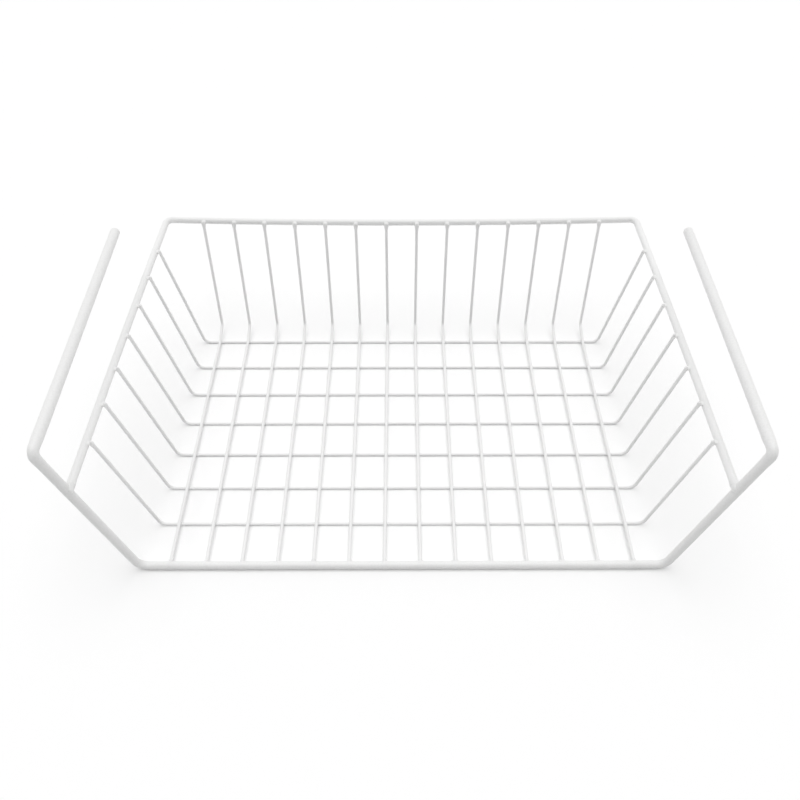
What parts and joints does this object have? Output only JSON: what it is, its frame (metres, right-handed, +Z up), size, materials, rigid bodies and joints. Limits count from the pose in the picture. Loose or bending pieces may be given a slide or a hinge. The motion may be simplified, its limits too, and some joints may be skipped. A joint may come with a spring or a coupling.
{
  "type": "hanging wire basket",
  "caption": "Open-front basket of welded, white coated wires; two long arms at its top slide over a shelf board so that it hangs below the shelf.",
  "frame": {"origin": "on the surface that the basket stands on, under the middle of the whole basket", "axes": "+Z up; +X to the right of someone facing the open front; the open front faces -Y and the arms reach back along +Y"},
  "size_m": [0.422, 0.2651, 0.1432],
  "materials": {
    "frame_coating": "white satin coating on thick steel wire",
    "rim_coating": "white satin coating on middling steel wire",
    "mesh_wire_coating": "white satin coating on thin steel wire"
  },
  "bodies": {
    "root": {"frame": "frame_coating", "rim": "rim_coating", "cross_wire_1": "mesh_wire_coating", "cross_wire_2": "mesh_wire_coating", "cross_wire_3": "mesh_wire_coating", "cross_wire_4": "mesh_wire_coating", "cross_wire_5": "mesh_wire_coating", "cross_wire_6": "mesh_wire_coating", "cross_wire_7": "mesh_wire_coating", "long_wire_01": "mesh_wire_coating", "long_wire_02": "mesh_wire_coating", "long_wire_03": "mesh_wire_coating", "long_wire_04": "mesh_wire_coating", "long_wire_05": "mesh_wire_coating", "long_wire_06": "mesh_wire_coating", "long_wire_07": "mesh_wire_coating", "long_wire_08": "mesh_wire_coating", "long_wire_09": "mesh_wire_coating", "long_wire_10": "mesh_wire_coating", "long_wire_11": "mesh_wire_coating", "long_wire_12": "mesh_wire_coating", "long_wire_13": "mesh_wire_coating", "long_wire_14": "mesh_wire_coating"}
  },
  "joints": []
}
